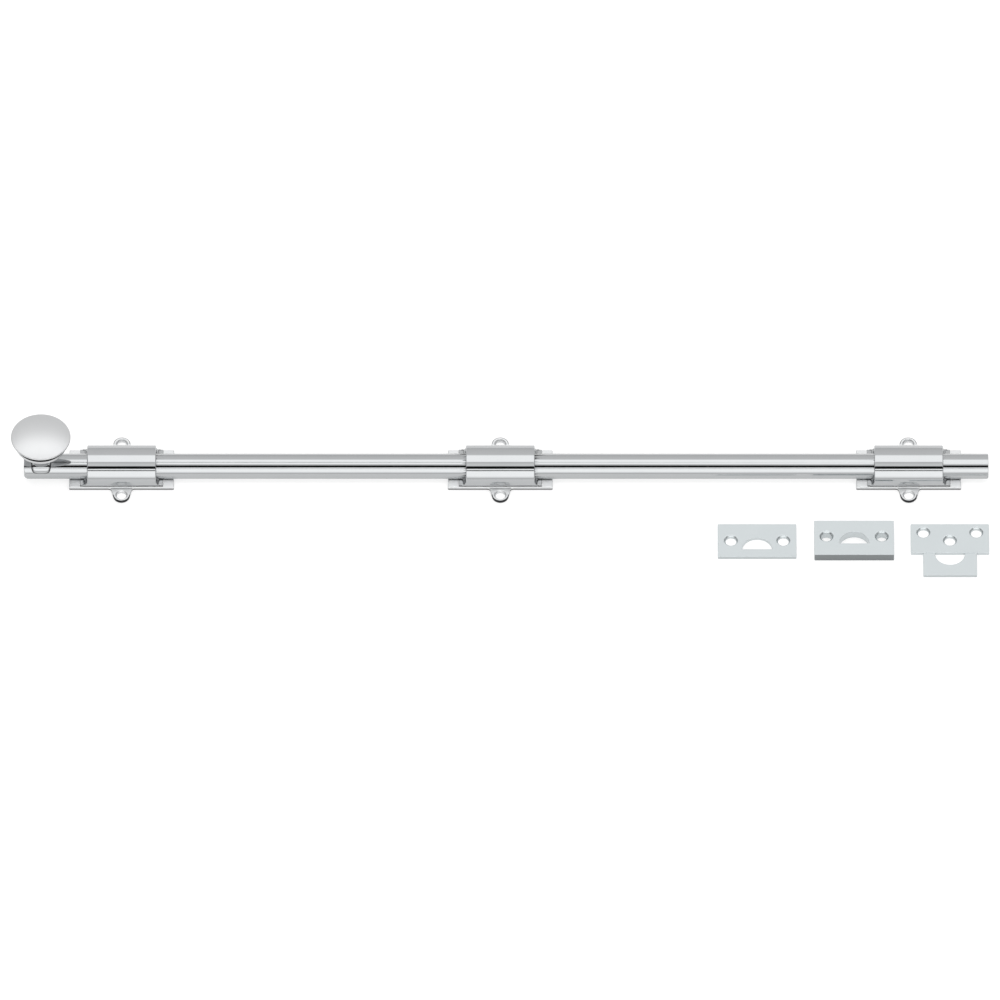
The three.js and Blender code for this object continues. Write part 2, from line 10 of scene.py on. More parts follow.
import bmesh
import bpy
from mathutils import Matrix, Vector


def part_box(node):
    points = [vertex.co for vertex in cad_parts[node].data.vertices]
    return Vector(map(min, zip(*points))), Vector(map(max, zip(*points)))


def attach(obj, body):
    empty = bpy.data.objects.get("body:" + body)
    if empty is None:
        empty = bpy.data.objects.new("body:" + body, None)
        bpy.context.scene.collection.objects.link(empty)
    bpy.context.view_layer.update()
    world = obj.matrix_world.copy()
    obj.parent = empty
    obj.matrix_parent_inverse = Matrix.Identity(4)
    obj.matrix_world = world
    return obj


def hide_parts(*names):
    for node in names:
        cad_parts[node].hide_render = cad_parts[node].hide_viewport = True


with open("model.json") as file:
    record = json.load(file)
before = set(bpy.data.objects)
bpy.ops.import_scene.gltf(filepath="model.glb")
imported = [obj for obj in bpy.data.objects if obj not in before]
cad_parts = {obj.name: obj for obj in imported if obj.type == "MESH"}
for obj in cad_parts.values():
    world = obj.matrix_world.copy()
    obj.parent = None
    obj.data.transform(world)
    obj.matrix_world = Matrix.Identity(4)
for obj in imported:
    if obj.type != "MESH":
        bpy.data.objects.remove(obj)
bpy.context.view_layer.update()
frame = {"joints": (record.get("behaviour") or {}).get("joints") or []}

# ------------------------------------------------------------------ sizes

MM = 0.001
OVERCUT = 2 * MM
SLIP_GAP = 0.3 * MM

PLATE_THICKNESS = 3.3 * MM
LUG_THICKNESS = 2.6 * MM
LUG_ROOT_HALF = 7.7 * MM
LUG_REACH = 6.05 * MM
LUG_RADIUS = 5.7 * MM
LUG_ROOT_FILLET = 1.4 * MM
PLATE_WIDTH = 33.4 * MM

PLATE_EDGE = 0.65 * MM
PLATE_UNDER_EDGE = 0.9 * MM
PANEL_INSET = 0.02 * MM
LUG_EDGE = 0.35 * MM
RIM_EDGE = 0.12 * MM

LUG_HOLE = (3.3 * MM, 4.2 * MM)
STRIKE_HOLE = (3.7 * MM, 4.8 * MM)
SINK_LAND = 0.5 * MM
HOLE_SIDES = 64

SADDLE_LENGTH = 47.2 * MM
SADDLE_CREST_UP = 15.55 * MM
# One side of the saddle's arch, from its crest down: each arc's radius and the slope it ends at.
SADDLE_ARCH = (
    (15 * MM, 24.5),
    (36 * MM, 29),
    (12 * MM, 42.1),
    (32 * MM, 43.4),
    (17.5 * MM, 58),
    (11.05 * MM, 90),
)
SADDLE_END_FILLET = 3.5 * MM
FOOT_THICKNESS = 0.8 * MM
CHANNEL_RADIUS = 10.1 * MM
BARREL_END_EDGE = 0.8 * MM
SADDLE_EDGE = 0.3 * MM

# The most, in degrees, that one straight side of the arch turns from the last.
ARCH_STEP = 1.5

ROD_TAIL_CORNER = 3.5 * MM
ROD_TIP_CORNER = 1.4 * MM
ROD_EDGE = 0.35 * MM

SPRING_THICKNESS = 0.4 * MM
SPRING_EDGE = 0.08 * MM
SPRING_POCKET_DEPTH = 1 * MM
SPRING_POCKET_CORNER = 1.5 * MM
SPRING_POCKET_END_GAP = 1.3 * MM

# Each kind of screw's head radius, shank radius and slot width, and the head and shank of its hole.
GUIDE_SCREW = (2.3 * MM, 1.2 * MM, 0.6 * MM)
GUIDE_SCREW_HOLE = (2.6 * MM, 1.5 * MM)
KNOB_SCREW = (4.4 * MM, 2.4 * MM, 1 * MM)
KNOB_SCREW_HOLE = (4.7 * MM, 2.7 * MM)
SCREW_HEAD_RIM = 0.2 * MM

STOP_PIN_RADIUS = 2 * MM
STOP_PIN_GAP = 0.05 * MM
STOP_PIN_CHAMFER = 0.5 * MM
STOP_SLOT_DEPTH = 3.4 * MM

# The knob's cap is a shallow dome with a rolled rim. Its underside slopes in to a crease, and a
# round-edged bowl hangs below the crease.
NECK_RADIUS = 6.2 * MM
KNOB_RIM_UP = 36.4 * MM
KNOB_ROLL_RADIUS = 0.7 * MM
KNOB_CAP_SLOPE = 22
KNOB_CREASE_RADIUS = 16.4 * MM
KNOB_CREASE_UP = 32 * MM
KNOB_BOWL_RADIUS = 17.8 * MM
KNOB_BOWL_TOP = 31.4 * MM
KNOB_BOWL_EDGE = 0.3 * MM
KNOB_BOWL_ROUND = 2.6 * MM
KNOB_BOWL_FOOT = 27.6 * MM
KNOB_FLARE_BELOW = 0.4 * MM

COLLAR_INNER = 10.02 * MM
COLLAR_OUTER = 12.2 * MM
COLLAR_EDGE_LIFT = 0.4 * MM
COLLAR_WRAP = 62
BOSS_RADIUS = NECK_RADIUS - 0.35 * MM
BOSS_TOP_RADIUS = NECK_RADIUS - 0.6 * MM

# Each plain strike's window sill from its front, half the distance between its holes, how far they
# are from its back, and how much painted shade darkens its front wall.
PLATE_STRIKES = {
    "flat_strike": (6.8 * MM, 17.9 * MM, 14.6 * MM, 0.15),
    "raised_strike": (10.2 * MM, 18.9 * MM, 13.9 * MM, 0.65),
}
TONGUE_LENGTH = 36.8 * MM
TONGUE_WIDTH = 19.8 * MM
TONGUE_THICKNESS = 2 * MM
TONGUE_OVERLAP = 3 * MM
# How much painted shade darkens the tongue strike's front wall.
TONGUE_WALL_PAINTED_SHADE = 0.15
# The tongue strike's holes: how far across from its middle, and how far from its back.
TONGUE_HOLES = ((-18.1 * MM, 7.4 * MM), (0, 14.5 * MM), (18.1 * MM, 7.4 * MM))
HALF_MOON_RADIUS = 10.25 * MM
STRIKE_CORNER = 0.6 * MM
STRIKE_EDGE = 0.22 * MM

# ------------------------------------------------------------------ mesh helpers

SHARP_ANGLE = 32


def arc(cx, cy, radius, start, end, steps):
    """Points on an arc, in degrees, both ends included."""
    points = []
    for i in range(steps + 1):
        angle = math.radians(start + (end - start) * i / steps)
        points.append((cx + radius * math.cos(angle), cy + radius * math.sin(angle)))
    return points


def rounded_box(x0, y0, x1, y1, left, right, steps=12):
    """A rectangle's outline with one corner radius on its left and another on its right."""
    return (
        arc(x1 - right, y0 + right, right, -90, 0, steps)
        + arc(x1 - right, y1 - right, right, 0, 90, steps)
        + arc(x0 + left, y1 - left, left, 90, 180, steps)
        + arc(x0 + left, y0 + left, left, 180, 270, steps)
    )


def object_from(name, verts, faces):
    mesh = bpy.data.meshes.new(name)
    mesh.from_pydata([tuple(v) for v in verts], [], faces)
    mesh.validate()
    piece = bpy.data.objects.new(name, mesh)
    bpy.context.scene.collection.objects.link(piece)
    tidy_mesh(piece)
    return piece


def tidy_mesh(piece):
    """Merges doubled points and turns every face outwards."""
    bm = bmesh.new()
    bm.from_mesh(piece.data)
    bmesh.ops.remove_doubles(bm, verts=bm.verts, dist=1e-7)
    bmesh.ops.recalc_face_normals(bm, faces=bm.faces)
    bm.to_mesh(piece.data)
    bm.free()


AXES = {
    "x": lambda u, v, w: (w, u, v),
    "y": lambda u, v, w: (u, w, v),
    "z": lambda u, v, w: (u, v, w),
}


def prism(name, outline, low, high, axis="z"):
    """An outline run along an axis. It lies in Y, Z for x, in X, Z for y and in X, Y for z."""
    place = AXES[axis]
    count = len(outline)
    verts = [place(u, v, w) for w in (low, high) for u, v in outline]
    faces = [tuple(range(count)), tuple(range(count, 2 * count))]
    for i in range(count):
        j = (i + 1) % count
        faces.append((i, j, count + j, count + i))
    return object_from(name, verts, faces)


def turned(name, profile, x=0.0, y=0.0, sides=96):
    """A profile of (radius, height) pairs, from axis to axis, turned about a vertical axis."""
    verts = []
    rings = []
    for radius, height in profile:
        if radius < 1e-9:
            rings.append([len(verts)] * sides)
            verts.append((x, y, height))
            continue
        rings.append(list(range(len(verts), len(verts) + sides)))
        for i in range(sides):
            angle = 2 * math.pi * i / sides
            verts.append((x + radius * math.cos(angle), y + radius * math.sin(angle), height))
    faces = []
    for lower, upper in zip(rings, rings[1:]):
        for i in range(sides):
            j = (i + 1) % sides
            corners = [lower[i], lower[j], upper[j], upper[i]]
            face = [v for k, v in enumerate(corners) if v != corners[k - 1]]
            if len(face) >= 3:
                faces.append(tuple(face))
    return object_from(name, verts, faces)


def bake_modifiers(piece):
    """Replaces a piece's mesh with what its modifiers make of it."""
    graph = bpy.context.evaluated_depsgraph_get()
    made = bpy.data.meshes.new_from_object(piece.evaluated_get(graph))
    old = piece.data
    piece.modifiers.clear()
    piece.data = made
    bpy.data.meshes.remove(old)


def combine(piece, tool, operation):
    """Cuts, joins or keeps the common part of a piece and a tool, and removes the tool."""
    modifier = piece.modifiers.new("Boolean", "BOOLEAN")
    modifier.operation = operation
    modifier.solver = "EXACT"
    modifier.object = tool
    bake_modifiers(piece)
    bpy.data.objects.remove(tool)
    return piece


def cut(piece, tool):
    return combine(piece, tool, "DIFFERENCE")


def ease_edges(piece, width, steps=3, sharper_than=35):
    """Rounds every edge sharper than an angle in degrees."""
    modifier = piece.modifiers.new("Bevel", "BEVEL")
    modifier.width = width
    modifier.segments = steps
    modifier.limit_method = "ANGLE"
    modifier.angle_limit = math.radians(sharper_than)
    modifier.use_clamp_overlap = False
    modifier.miter_outer = "MITER_ARC"
    bake_modifiers(piece)
    return piece


def round_over(piece, width, chosen, steps=5):
    """Rounds the sharp edges whose points pass a test."""
    bm = bmesh.new()
    bm.from_mesh(piece.data)
    sharp = math.radians(50)
    edges = [
        edge
        for edge in bm.edges
        if len(edge.link_faces) == 2
        and edge.calc_face_angle() > sharp
        and all(chosen(vert.co) for vert in edge.verts)
    ]
    bmesh.ops.bevel(
        bm,
        geom=edges,
        offset=width,
        offset_type="OFFSET",
        segments=steps,
        profile=0.5,
        affect="EDGES",
        clamp_overlap=False,
    )
    bm.to_mesh(piece.data)
    bm.free()
    return piece


def on_floor(point):
    return point.z < 0.001 * MM


def keep_inside(piece, low, high):
    """Puts any point that an eased corner pushed out of a box back onto its side."""
    for vertex in piece.data.vertices:
        for k in range(3):
            vertex.co[k] = min(max(vertex.co[k], low[k]), high[k])


def finish_piece(piece, node, body, material):
    """Smooth shading that keeps flat faces flat, a material, and the piece's place in the frame."""
    tidy_mesh(piece)
    piece.data.shade_smooth()
    piece.data.set_sharp_from_angle(angle=math.radians(SHARP_ANGLE))
    weighted = piece.modifiers.new("Weighted normals", "WEIGHTED_NORMAL")
    weighted.keep_sharp = True
    bake_modifiers(piece)
    piece.data.materials.clear()
    piece.data.materials.append(material)
    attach(piece, body)
    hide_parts(node)
    return piece


# ------------------------------------------------------------------ materials


def value_noise(nodes, links, coordinates, scale, detail=3.0):
    noise = nodes.new("ShaderNodeTexNoise")
    noise.inputs["Scale"].default_value = scale
    noise.inputs["Detail"].default_value = detail
    links.new(coordinates, noise.inputs["Vector"])
    return noise.outputs["Fac"]


def ramp(nodes, links, source, low, high):
    """Maps 0 to 1 onto low to high."""
    mapped = nodes.new("ShaderNodeMapRange")
    mapped.inputs["From Min"].default_value = 0.25
    mapped.inputs["From Max"].default_value = 0.75
    mapped.inputs["To Min"].default_value = low
    mapped.inputs["To Max"].default_value = high
    links.new(source, mapped.inputs["Value"])
    return mapped.outputs["Result"]


def metal(name, dark, light, roughness, grain, grain_stretch, bump):
    """A plated or bare metal: slow colour drift, streaky roughness and a fine polishing grain.

    grain is the grain's scale per metre and grain_stretch how much longer it runs along X.
    """
    material = bpy.data.materials.new(name)
    material.use_nodes = True
    nodes = material.node_tree.nodes
    links = material.node_tree.links
    shader = nodes["Principled BSDF"]
    shader.inputs["Metallic"].default_value = 1.0
    place = nodes.new("ShaderNodeTexCoord").outputs["Object"]
    stretch = nodes.new("ShaderNodeMapping")
    stretch.inputs["Scale"].default_value = (1 / grain_stretch, 1, 1)
    links.new(place, stretch.inputs["Vector"])
    drift = value_noise(nodes, links, place, 55)
    colours = nodes.new("ShaderNodeMix")
    colours.data_type = "RGBA"
    colours.inputs["A"].default_value = (*dark, 1)
    colours.inputs["B"].default_value = (*light, 1)
    links.new(drift, colours.inputs["Factor"])
    links.new(colours.outputs["Result"], shader.inputs["Base Color"])
    streaks = value_noise(nodes, links, stretch.outputs["Vector"], grain, 4)
    links.new(ramp(nodes, links, streaks, *roughness), shader.inputs["Roughness"])
    relief = nodes.new("ShaderNodeBump")
    relief.inputs["Strength"].default_value = bump
    relief.inputs["Distance"].default_value = 0.02 * MM
    links.new(streaks, relief.inputs["Height"])
    links.new(relief.outputs["Normal"], shader.inputs["Normal"])
    return material


CHROME = ((0.415, 0.426, 0.434), (0.442, 0.451, 0.457))
# The saddle, knob and collar metals get painted shade further down.
polished = metal("polished_chrome", *CHROME, (0.05, 0.085), 900, 12, 0.15)
saddle_chrome_and_painted_shade = metal("saddle_chrome", *CHROME, (0.045, 0.075), 900, 12, 0.12)
collar_chrome_and_painted_shade = metal("collar_chrome", *CHROME, (0.05, 0.085), 900, 2, 0.1)
knob_chrome_and_painted_shade = metal(
    "buffed_chrome", (0.556, 0.562, 0.568), (0.578, 0.584, 0.589), (0.38, 0.42), 700, 1, 0.08
)
zinc = metal("zinc_steel", (0.42, 0.43, 0.44), (0.5, 0.51, 0.52), (0.28, 0.42), 600, 1, 0.3)
bronze = metal("spring_bronze", (0.42, 0.26, 0.12), (0.5, 0.32, 0.16), (0.25, 0.4), 600, 8, 0.3)

# Near black, mixed into a metal's colour as painted shade: the dark lines along creases, feet,
# edges and low walls.
PAINTED_SHADE_COLOUR = (0.03, 0.031, 0.033, 1)
UPRIGHT, AROUND_X, LENGTHWISE, AROUND_Z = (0, 0, 1), (0, 1, 1), (0, 1, 0), (1, 1, 0)


def painted_shade_amount(material, axes, centre, unshaded_at, fully_shaded_at, most=1.0):
    """How much painted shade a metal gets by its distance from a place: none at the unshaded
    distance and the most at the fully shaded one.

    axes holds a 1 for each axis that the distance is measured along and a 0 for the others.
    """
    nodes = material.node_tree.nodes
    links = material.node_tree.links
    offset = nodes.new("ShaderNodeVectorMath")
    offset.operation = "SUBTRACT"
    offset.inputs[1].default_value = centre
    links.new(nodes.new("ShaderNodeTexCoord").outputs["Object"], offset.inputs[0])
    along = nodes.new("ShaderNodeVectorMath")
    along.operation = "MULTIPLY"
    along.inputs[1].default_value = axes
    links.new(offset.outputs["Vector"], along.inputs[0])
    length = nodes.new("ShaderNodeVectorMath")
    length.operation = "LENGTH"
    links.new(along.outputs["Vector"], length.inputs[0])
    amount = nodes.new("ShaderNodeMapRange")
    amount.inputs["From Min"].default_value = unshaded_at
    amount.inputs["From Max"].default_value = fully_shaded_at
    amount.inputs["To Max"].default_value = most
    links.new(length.outputs["Value"], amount.inputs["Value"])
    return amount.outputs["Result"]


def paint_shade(material, *amounts):
    """Paints shade: darkens a metal's colour towards near black where all of the amounts are high.
    """
    nodes = material.node_tree.nodes
    links = material.node_tree.links
    tint = nodes["Principled BSDF"].inputs["Base Color"]
    both = amounts[0]
    for amount in amounts[1:]:
        product = nodes.new("ShaderNodeMath")
        product.operation = "MULTIPLY"
        links.new(both, product.inputs[0])
        links.new(amount, product.inputs[1])
        both = product.outputs["Value"]
    blend = nodes.new("ShaderNodeMix")
    blend.data_type = "RGBA"
    blend.inputs["B"].default_value = PAINTED_SHADE_COLOUR
    links.new(both, blend.inputs["Factor"])
    links.new(tint.links[0].from_socket, blend.inputs["A"])
    links.new(blend.outputs["Result"], tint)


def strike_chrome_and_painted_shade(node, most):
    """A strike's bright chrome, with painted shade darkening its front wall by the given share at
    most.
    """
    low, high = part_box(node)
    material = metal(
        f"{node}_chrome", (0.546, 0.583, 0.594), (0.566, 0.603, 0.614), (0.3, 0.33), 900, 3, 0.04
    )
    front = painted_shade_amount(material, LENGTHWISE, (0, low.y, 0), 0.3 * MM, 0.1 * MM, most)
    walls = painted_shade_amount(material, UPRIGHT, (0, 0, 0), high.z - 0.05 * MM, high.z - 0.25 * MM)
    # Painted shade on the front wall, below its top edge.
    paint_shade(material, front, walls)
    return material


def plate_chrome_and_painted_shade(name, centre):
    """A guide plate's satin chrome, with painted shade low on its walls and around its lugs, but
    not in holes.
    """
    material = metal(
        f"{name}_plate_chrome", (0.66, 0.672, 0.68), (0.69, 0.698, 0.702), (0.42, 0.47), 700, 6, 0.1
    )
    lug_y = PLATE_WIDTH / 2 + LUG_REACH
    places = [(centre, side * lug_y, 0) for side in (-1, 1)]
    outside = [painted_shade_amount(material, AROUND_Z, place, 4.4 * MM, 4.7 * MM) for place in places]
    # Painted shade low on the walls, outside the lug holes.
    paint_shade(material, painted_shade_amount(material, UPRIGHT, (0, 0, 0), 1.8 * MM, 1.5 * MM), *outside)
    # Painted shade along the lugs' rounded ends.
    ends = painted_shade_amount(material, LENGTHWISE, (0, 0, 0), lug_y - 0.5 * MM, lug_y + 0.5 * MM)
    rims = [painted_shade_amount(material, AROUND_Z, place, 5.1 * MM, 5.4 * MM) for place in places]
    paint_shade(material, ends, *rims)
    return material


# ------------------------------------------------------------------ guides


def countersink(x, y, top, hole):
    """The tool for a countersunk hole, a radius and a mouth radius, from below up to height top."""
    radius, sink = hole
    cone = min(sink - radius, top - SINK_LAND)
    profile = [
        (0, -OVERCUT),
        (radius, -OVERCUT),
        (radius, top - cone),
        (sink, top),
        (sink, top + OVERCUT),
        (0, top + OVERCUT),
    ]
    return turned("sink_tool", profile, x, y, HOLE_SIDES)


def plate_outline(centre, half_length):
    """A guide's plate with a tapered, round-ended screw lug at the middle of each long side."""
    half_width = PLATE_WIDTH / 2
    root_to_hole = math.hypot(LUG_ROOT_HALF, LUG_REACH)
    tangent = math.acos(LUG_RADIUS / root_to_hole) - math.atan2(LUG_REACH, LUG_ROOT_HALF)
    tangent = math.degrees(tangent)
    points = []
    for side in (1, -1):
        edge = side * half_width
        turn = 0 if side > 0 else 180
        root_x = side * (LUG_ROOT_HALF + LUG_ROOT_FILLET)
        corner_x = side * LUG_ROOT_HALF
        flank_x = side * (LUG_ROOT_HALF - LUG_ROOT_FILLET / 2)
        flank_y = edge + side * LUG_ROOT_FILLET
        points.append((side * half_length, edge))
        points += bend((root_x, edge), (corner_x, edge), (flank_x, flank_y))
        lug_y = edge + side * LUG_REACH
        points += arc(0, lug_y, LUG_RADIUS, turn + tangent, turn + 180 - tangent, 40)
        points += bend((-flank_x, flank_y), (-corner_x, edge), (-root_x, edge))
        points.append((-side * half_length, edge))
    return [(centre + x, y) for x, y in points]


def bend(start, control, end, steps=8):
    """A quadratic curve."""
    points = []
    for i in range(steps + 1):
        t = i / steps
        weights = ((1 - t) ** 2, 2 * t * (1 - t), t * t)
        points.append(
            tuple(sum(w * p[k] for w, p in zip(weights, (start, control, end))) for k in (0, 1))
        )
    return points


def guide_base(name):
    low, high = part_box(f"{name}_guide_base")
    centre = (low.x + high.x) / 2
    half_length = (high.x - low.x) / 2
    base = prism(f"{name}_plate", plate_outline(centre, half_length), 0, LUG_THICKNESS)
    ease_edges(round_over(base, PLATE_UNDER_EDGE, on_floor), LUG_EDGE)
    panel_y = PLATE_WIDTH / 2 - PANEL_INSET
    panel_x = half_length - PANEL_INSET
    sides = [(-panel_x, -panel_y), (panel_x, -panel_y), (panel_x, panel_y), (-panel_x, panel_y)]
    outline = [(centre + x, y) for x, y in sides]
    panel = prism("panel_tool", outline, PLATE_UNDER_EDGE, PLATE_THICKNESS)
    combine(base, ease_edges(panel, PLATE_EDGE, 4), "UNION")
    for side in (-1, 1):
        lug_y = side * (PLATE_WIDTH / 2 + LUG_REACH)
        cut(base, countersink(centre, lug_y, LUG_THICKNESS, LUG_HOLE))
    cut_guide_screw_holes(base, name)
    cut(base, spring_pocket(name))
    if name == "centre":
        cut(base, stop_pin_hole())
    ease_edges(base, RIM_EDGE, 2, 40)
    # Chrome with painted shade low on the plate's walls and at the lug ends.
    chrome_and_painted_shade = plate_chrome_and_painted_shade(name, centre)
    return finish_piece(base, f"{name}_guide_base", "guides", chrome_and_painted_shade)


def spring_pocket(name):
    """The tool for the shallow pocket under a friction spring."""
    low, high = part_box(f"{name}_friction_spring")
    outline = rounded_box(
        low.x - SPRING_POCKET_END_GAP,
        low.y - SLIP_GAP,
        high.x + SPRING_POCKET_END_GAP,
        high.y + SLIP_GAP,
        SPRING_POCKET_CORNER,
        SPRING_POCKET_CORNER,
    )
    floor = PLATE_THICKNESS - SPRING_POCKET_DEPTH
    return prism("pocket_tool", outline, floor, PLATE_THICKNESS + OVERCUT)


def stop_pin_hole():
    """The tool for the stop pin's hole through its plate."""
    low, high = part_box("stop_pin")
    outline = arc((low.x + high.x) / 2, 0, STOP_PIN_RADIUS + STOP_PIN_GAP, 0, 360, 48)[:-1]
    return prism("pin_tool", outline, -OVERCUT, PLATE_THICKNESS + OVERCUT)


def screw_places(name):
    """Each saddle screw's x, y and top."""
    places = []
    for i in range(1, 5):
        low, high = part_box(f"{name}_guide_screw_{i}")
        places.append(((low.x + high.x) / 2, (low.y + high.y) / 2, high.z))
    return places


def screw_room(x, y, back, top, hole, sides):
    """The tool for a screw's hole of a head and a shank radius, from behind back up to top."""
    head, shank = hole
    profile = [
        (0, back - OVERCUT),
        (head, back - OVERCUT),
        (head, back + SLIP_GAP),
        (shank, back + SLIP_GAP + head - shank),
        (shank, top),
        (0, top),
    ]
    return turned("screw_tool", profile, x, y, sides)


def cut_guide_screw_holes(piece, name):
    for x, y, top in screw_places(name):
        cut(piece, screw_room(x, y, 0, top + SLIP_GAP, GUIDE_SCREW_HOLE, 32))


def saddle_front(centre, low, foot_half):
    """The saddle from the front: a barrel between two fillets, on a thin foot."""
    end = SADDLE_LENGTH / 2
    fillet_x = end + SADDLE_END_FILLET
    foot_top = low + FOOT_THICKNESS
    fillet_up = foot_top + SADDLE_END_FILLET
    crest = low + SADDLE_CREST_UP + OVERCUT
    right = [(foot_half, low), (foot_half, foot_top)]
    right += arc(fillet_x, fillet_up, SADDLE_END_FILLET, 270, 180, 24)
    right.append((end, crest))
    left = [(-x, z) for x, z in reversed(right)]
    return [(centre + x, z) for x, z in right + left]


def saddle_arch():
    """One side of the arch, from its crest down to its upright side, as places across and up."""
    across, up = 0.0, SADDLE_CREST_UP
    slope = 0.0
    points = [(across, up)]
    for radius, end in SADDLE_ARCH:
        start = math.radians(slope)
        centre_across = across - radius * math.sin(start)
        centre_up = up - radius * math.cos(start)
        steps = math.ceil((end - slope) / ARCH_STEP)
        points += arc(centre_across, centre_up, radius, 90 - slope, 90 - end, steps)[1:]
        across, up = points[-1]
        slope = end
    return points


def saddle_end(low, foot_half):
    """The saddle from its end: an arch on short straight sides, on a thin foot."""
    foot_top = low + FOOT_THICKNESS
    arch = saddle_arch()
    side = arch[-1][0]
    outline = [(-foot_half, low), (foot_half, low), (foot_half, foot_top), (side, foot_top)]
    outline += [(across, low + up) for across, up in reversed(arch)]
    outline += [(-across, low + up) for across, up in arch[1:]]
    return outline + [(-side, foot_top), (-foot_half, foot_top)]


def barrel_end_test(centre, low):
    """A test for points on the arch's outer rim at either end of the barrel."""
    near = 0.02 * MM
    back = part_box("bolt_rod")[0].z
    reach = SADDLE_LENGTH / 2 - near
    floor = low + FOOT_THICKNESS - near
    side = saddle_arch()[-1][0] + near
    outside = CHANNEL_RADIUS + 0.5 * MM

    def passes(point):
        on_arch = point.z > floor and abs(point.y) < side
        at_end = abs(point.x - centre) > reach
        return on_arch and at_end and math.hypot(point.y, point.z - back) > outside

    return passes


def channel_tool(x0, x1, radius):
    """The room that the rod slides through, open below."""
    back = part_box("bolt_rod")[0].z
    outline = [(-radius, -OVERCUT), (radius, -OVERCUT)] + arc(0, back, radius, 0, 180, 96)
    return prism("channel_tool", outline, x0, x1, "x")


def guide_saddle(name):
    low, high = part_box(f"{name}_guide_saddle")
    centre = (low.x + high.x) / 2
    front = saddle_front(centre, low.z, (high.x - low.x) / 2)
    end = saddle_end(low.z, high.y)
    saddle = prism(f"{name}_saddle", front, low.y - OVERCUT, high.y + OVERCUT, "y")
    combine(saddle, prism("arch_tool", end, low.x - OVERCUT, high.x + OVERCUT, "x"), "INTERSECT")
    cut(saddle, channel_tool(low.x - OVERCUT, high.x + OVERCUT, CHANNEL_RADIUS))
    cut_guide_screw_holes(saddle, name)
    round_over(saddle, BARREL_END_EDGE, barrel_end_test(centre, low.z))
    ease_edges(saddle, SADDLE_EDGE)
    return finish_piece(saddle, f"{name}_guide_saddle", "guides", saddle_chrome_and_painted_shade)


def friction_spring(name):
    low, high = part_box(f"{name}_friction_spring")
    half = (high.x - low.x) / 2
    rise = high.z - low.z - SPRING_THICKNESS
    radius = (half * half + rise * rise) / (2 * rise)
    spread = math.degrees(math.asin(half / radius))
    middle = (low.x + high.x) / 2
    centre = low.z + rise - radius
    outline = arc(middle, centre, radius, 90 + spread, 90 - spread, 48)
    outline += arc(middle, centre, radius + SPRING_THICKNESS, 90 - spread, 90 + spread, 48)
    outline = [(x, max(z, low.z)) for x, z in outline]
    spring = prism(f"{name}_spring", outline, low.y, high.y, "y")
    ease_edges(spring, SPRING_EDGE, 2)
    return finish_piece(spring, f"{name}_friction_spring", "guides", bronze)


def countersunk_screw(name, node, body, head, shank, slot_width):
    """A slotted countersunk machine screw that points up, with rolled thread ridges."""
    low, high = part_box(node)
    x, y = (low.x + high.x) / 2, (low.y + high.y) / 2
    neck = low.z + SCREW_HEAD_RIM + head - shank
    pitch = shank / 3
    profile = [(0, low.z), (head, low.z), (head, low.z + SCREW_HEAD_RIM), (shank, neck)]
    height = neck + pitch
    while height < high.z - 2 * pitch:
        profile += [(shank, height), (shank - pitch / 3, height + pitch / 2)]
        height += pitch
    profile += [(shank, high.z - pitch), (shank - pitch, high.z), (0, high.z)]
    screw = turned(name, profile, x, y, 48)
    left, right = x - 2 * head, x + 2 * head
    front, back = y - slot_width / 2, y + slot_width / 2
    slot = rounded_box(left, front, right, back, 1e-5, 1e-5, 1)
    cut(screw, prism("slot_tool", slot, low.z - OVERCUT, low.z + head / 3))
    return finish_piece(screw, node, body, zinc)


def stop_pin():
    low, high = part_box("stop_pin")
    x = (low.x + high.x) / 2
    profile = [
        (0, low.z),
        (STOP_PIN_RADIUS, low.z),
        (STOP_PIN_RADIUS, high.z - STOP_PIN_CHAMFER),
        (STOP_PIN_RADIUS - STOP_PIN_CHAMFER, high.z),
        (0, high.z),
    ]
    pin = turned("pin", profile, x, 0, 48)
    return finish_piece(pin, "stop_pin", "guides", zinc)


# ------------------------------------------------------------------ the sliding bolt


def cut_knob_screw_hole(piece, x, top):
    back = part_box("bolt_rod")[0].z
    cut(piece, screw_room(x, 0, back, top, KNOB_SCREW_HOLE, 48))


def bolt_rod(knob_x):
    low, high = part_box("bolt_rod")
    radius = high.y
    section = arc(0, low.z, radius, 0, 180, 128)
    rod = prism("rod", section, low.x - OVERCUT, high.x + OVERCUT, "x")
    plan = rounded_box(low.x, low.y, high.x, high.y, ROD_TAIL_CORNER, ROD_TIP_CORNER)
    combine(rod, prism("plan_tool", plan, low.z - OVERCUT, high.z + OVERCUT), "INTERSECT")
    pin_low, pin_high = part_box("stop_pin")
    throw = frame["joints"][0]["range_m"][1]
    half = STOP_PIN_RADIUS + SLIP_GAP
    slot_low, slot_high = pin_low.x - throw - SLIP_GAP, pin_high.x + SLIP_GAP
    slot = rounded_box(slot_low, -half, slot_high, half, half * 0.99, half * 0.99)
    cut(rod, prism("slot_tool", slot, low.z - OVERCUT, low.z + STOP_SLOT_DEPTH))
    cut_knob_screw_hole(rod, knob_x, high.z + OVERCUT)
    ease_edges(rod, ROD_EDGE)
    keep_inside(rod, low, high)
    return finish_piece(rod, "bolt_rod", "bolt", polished)


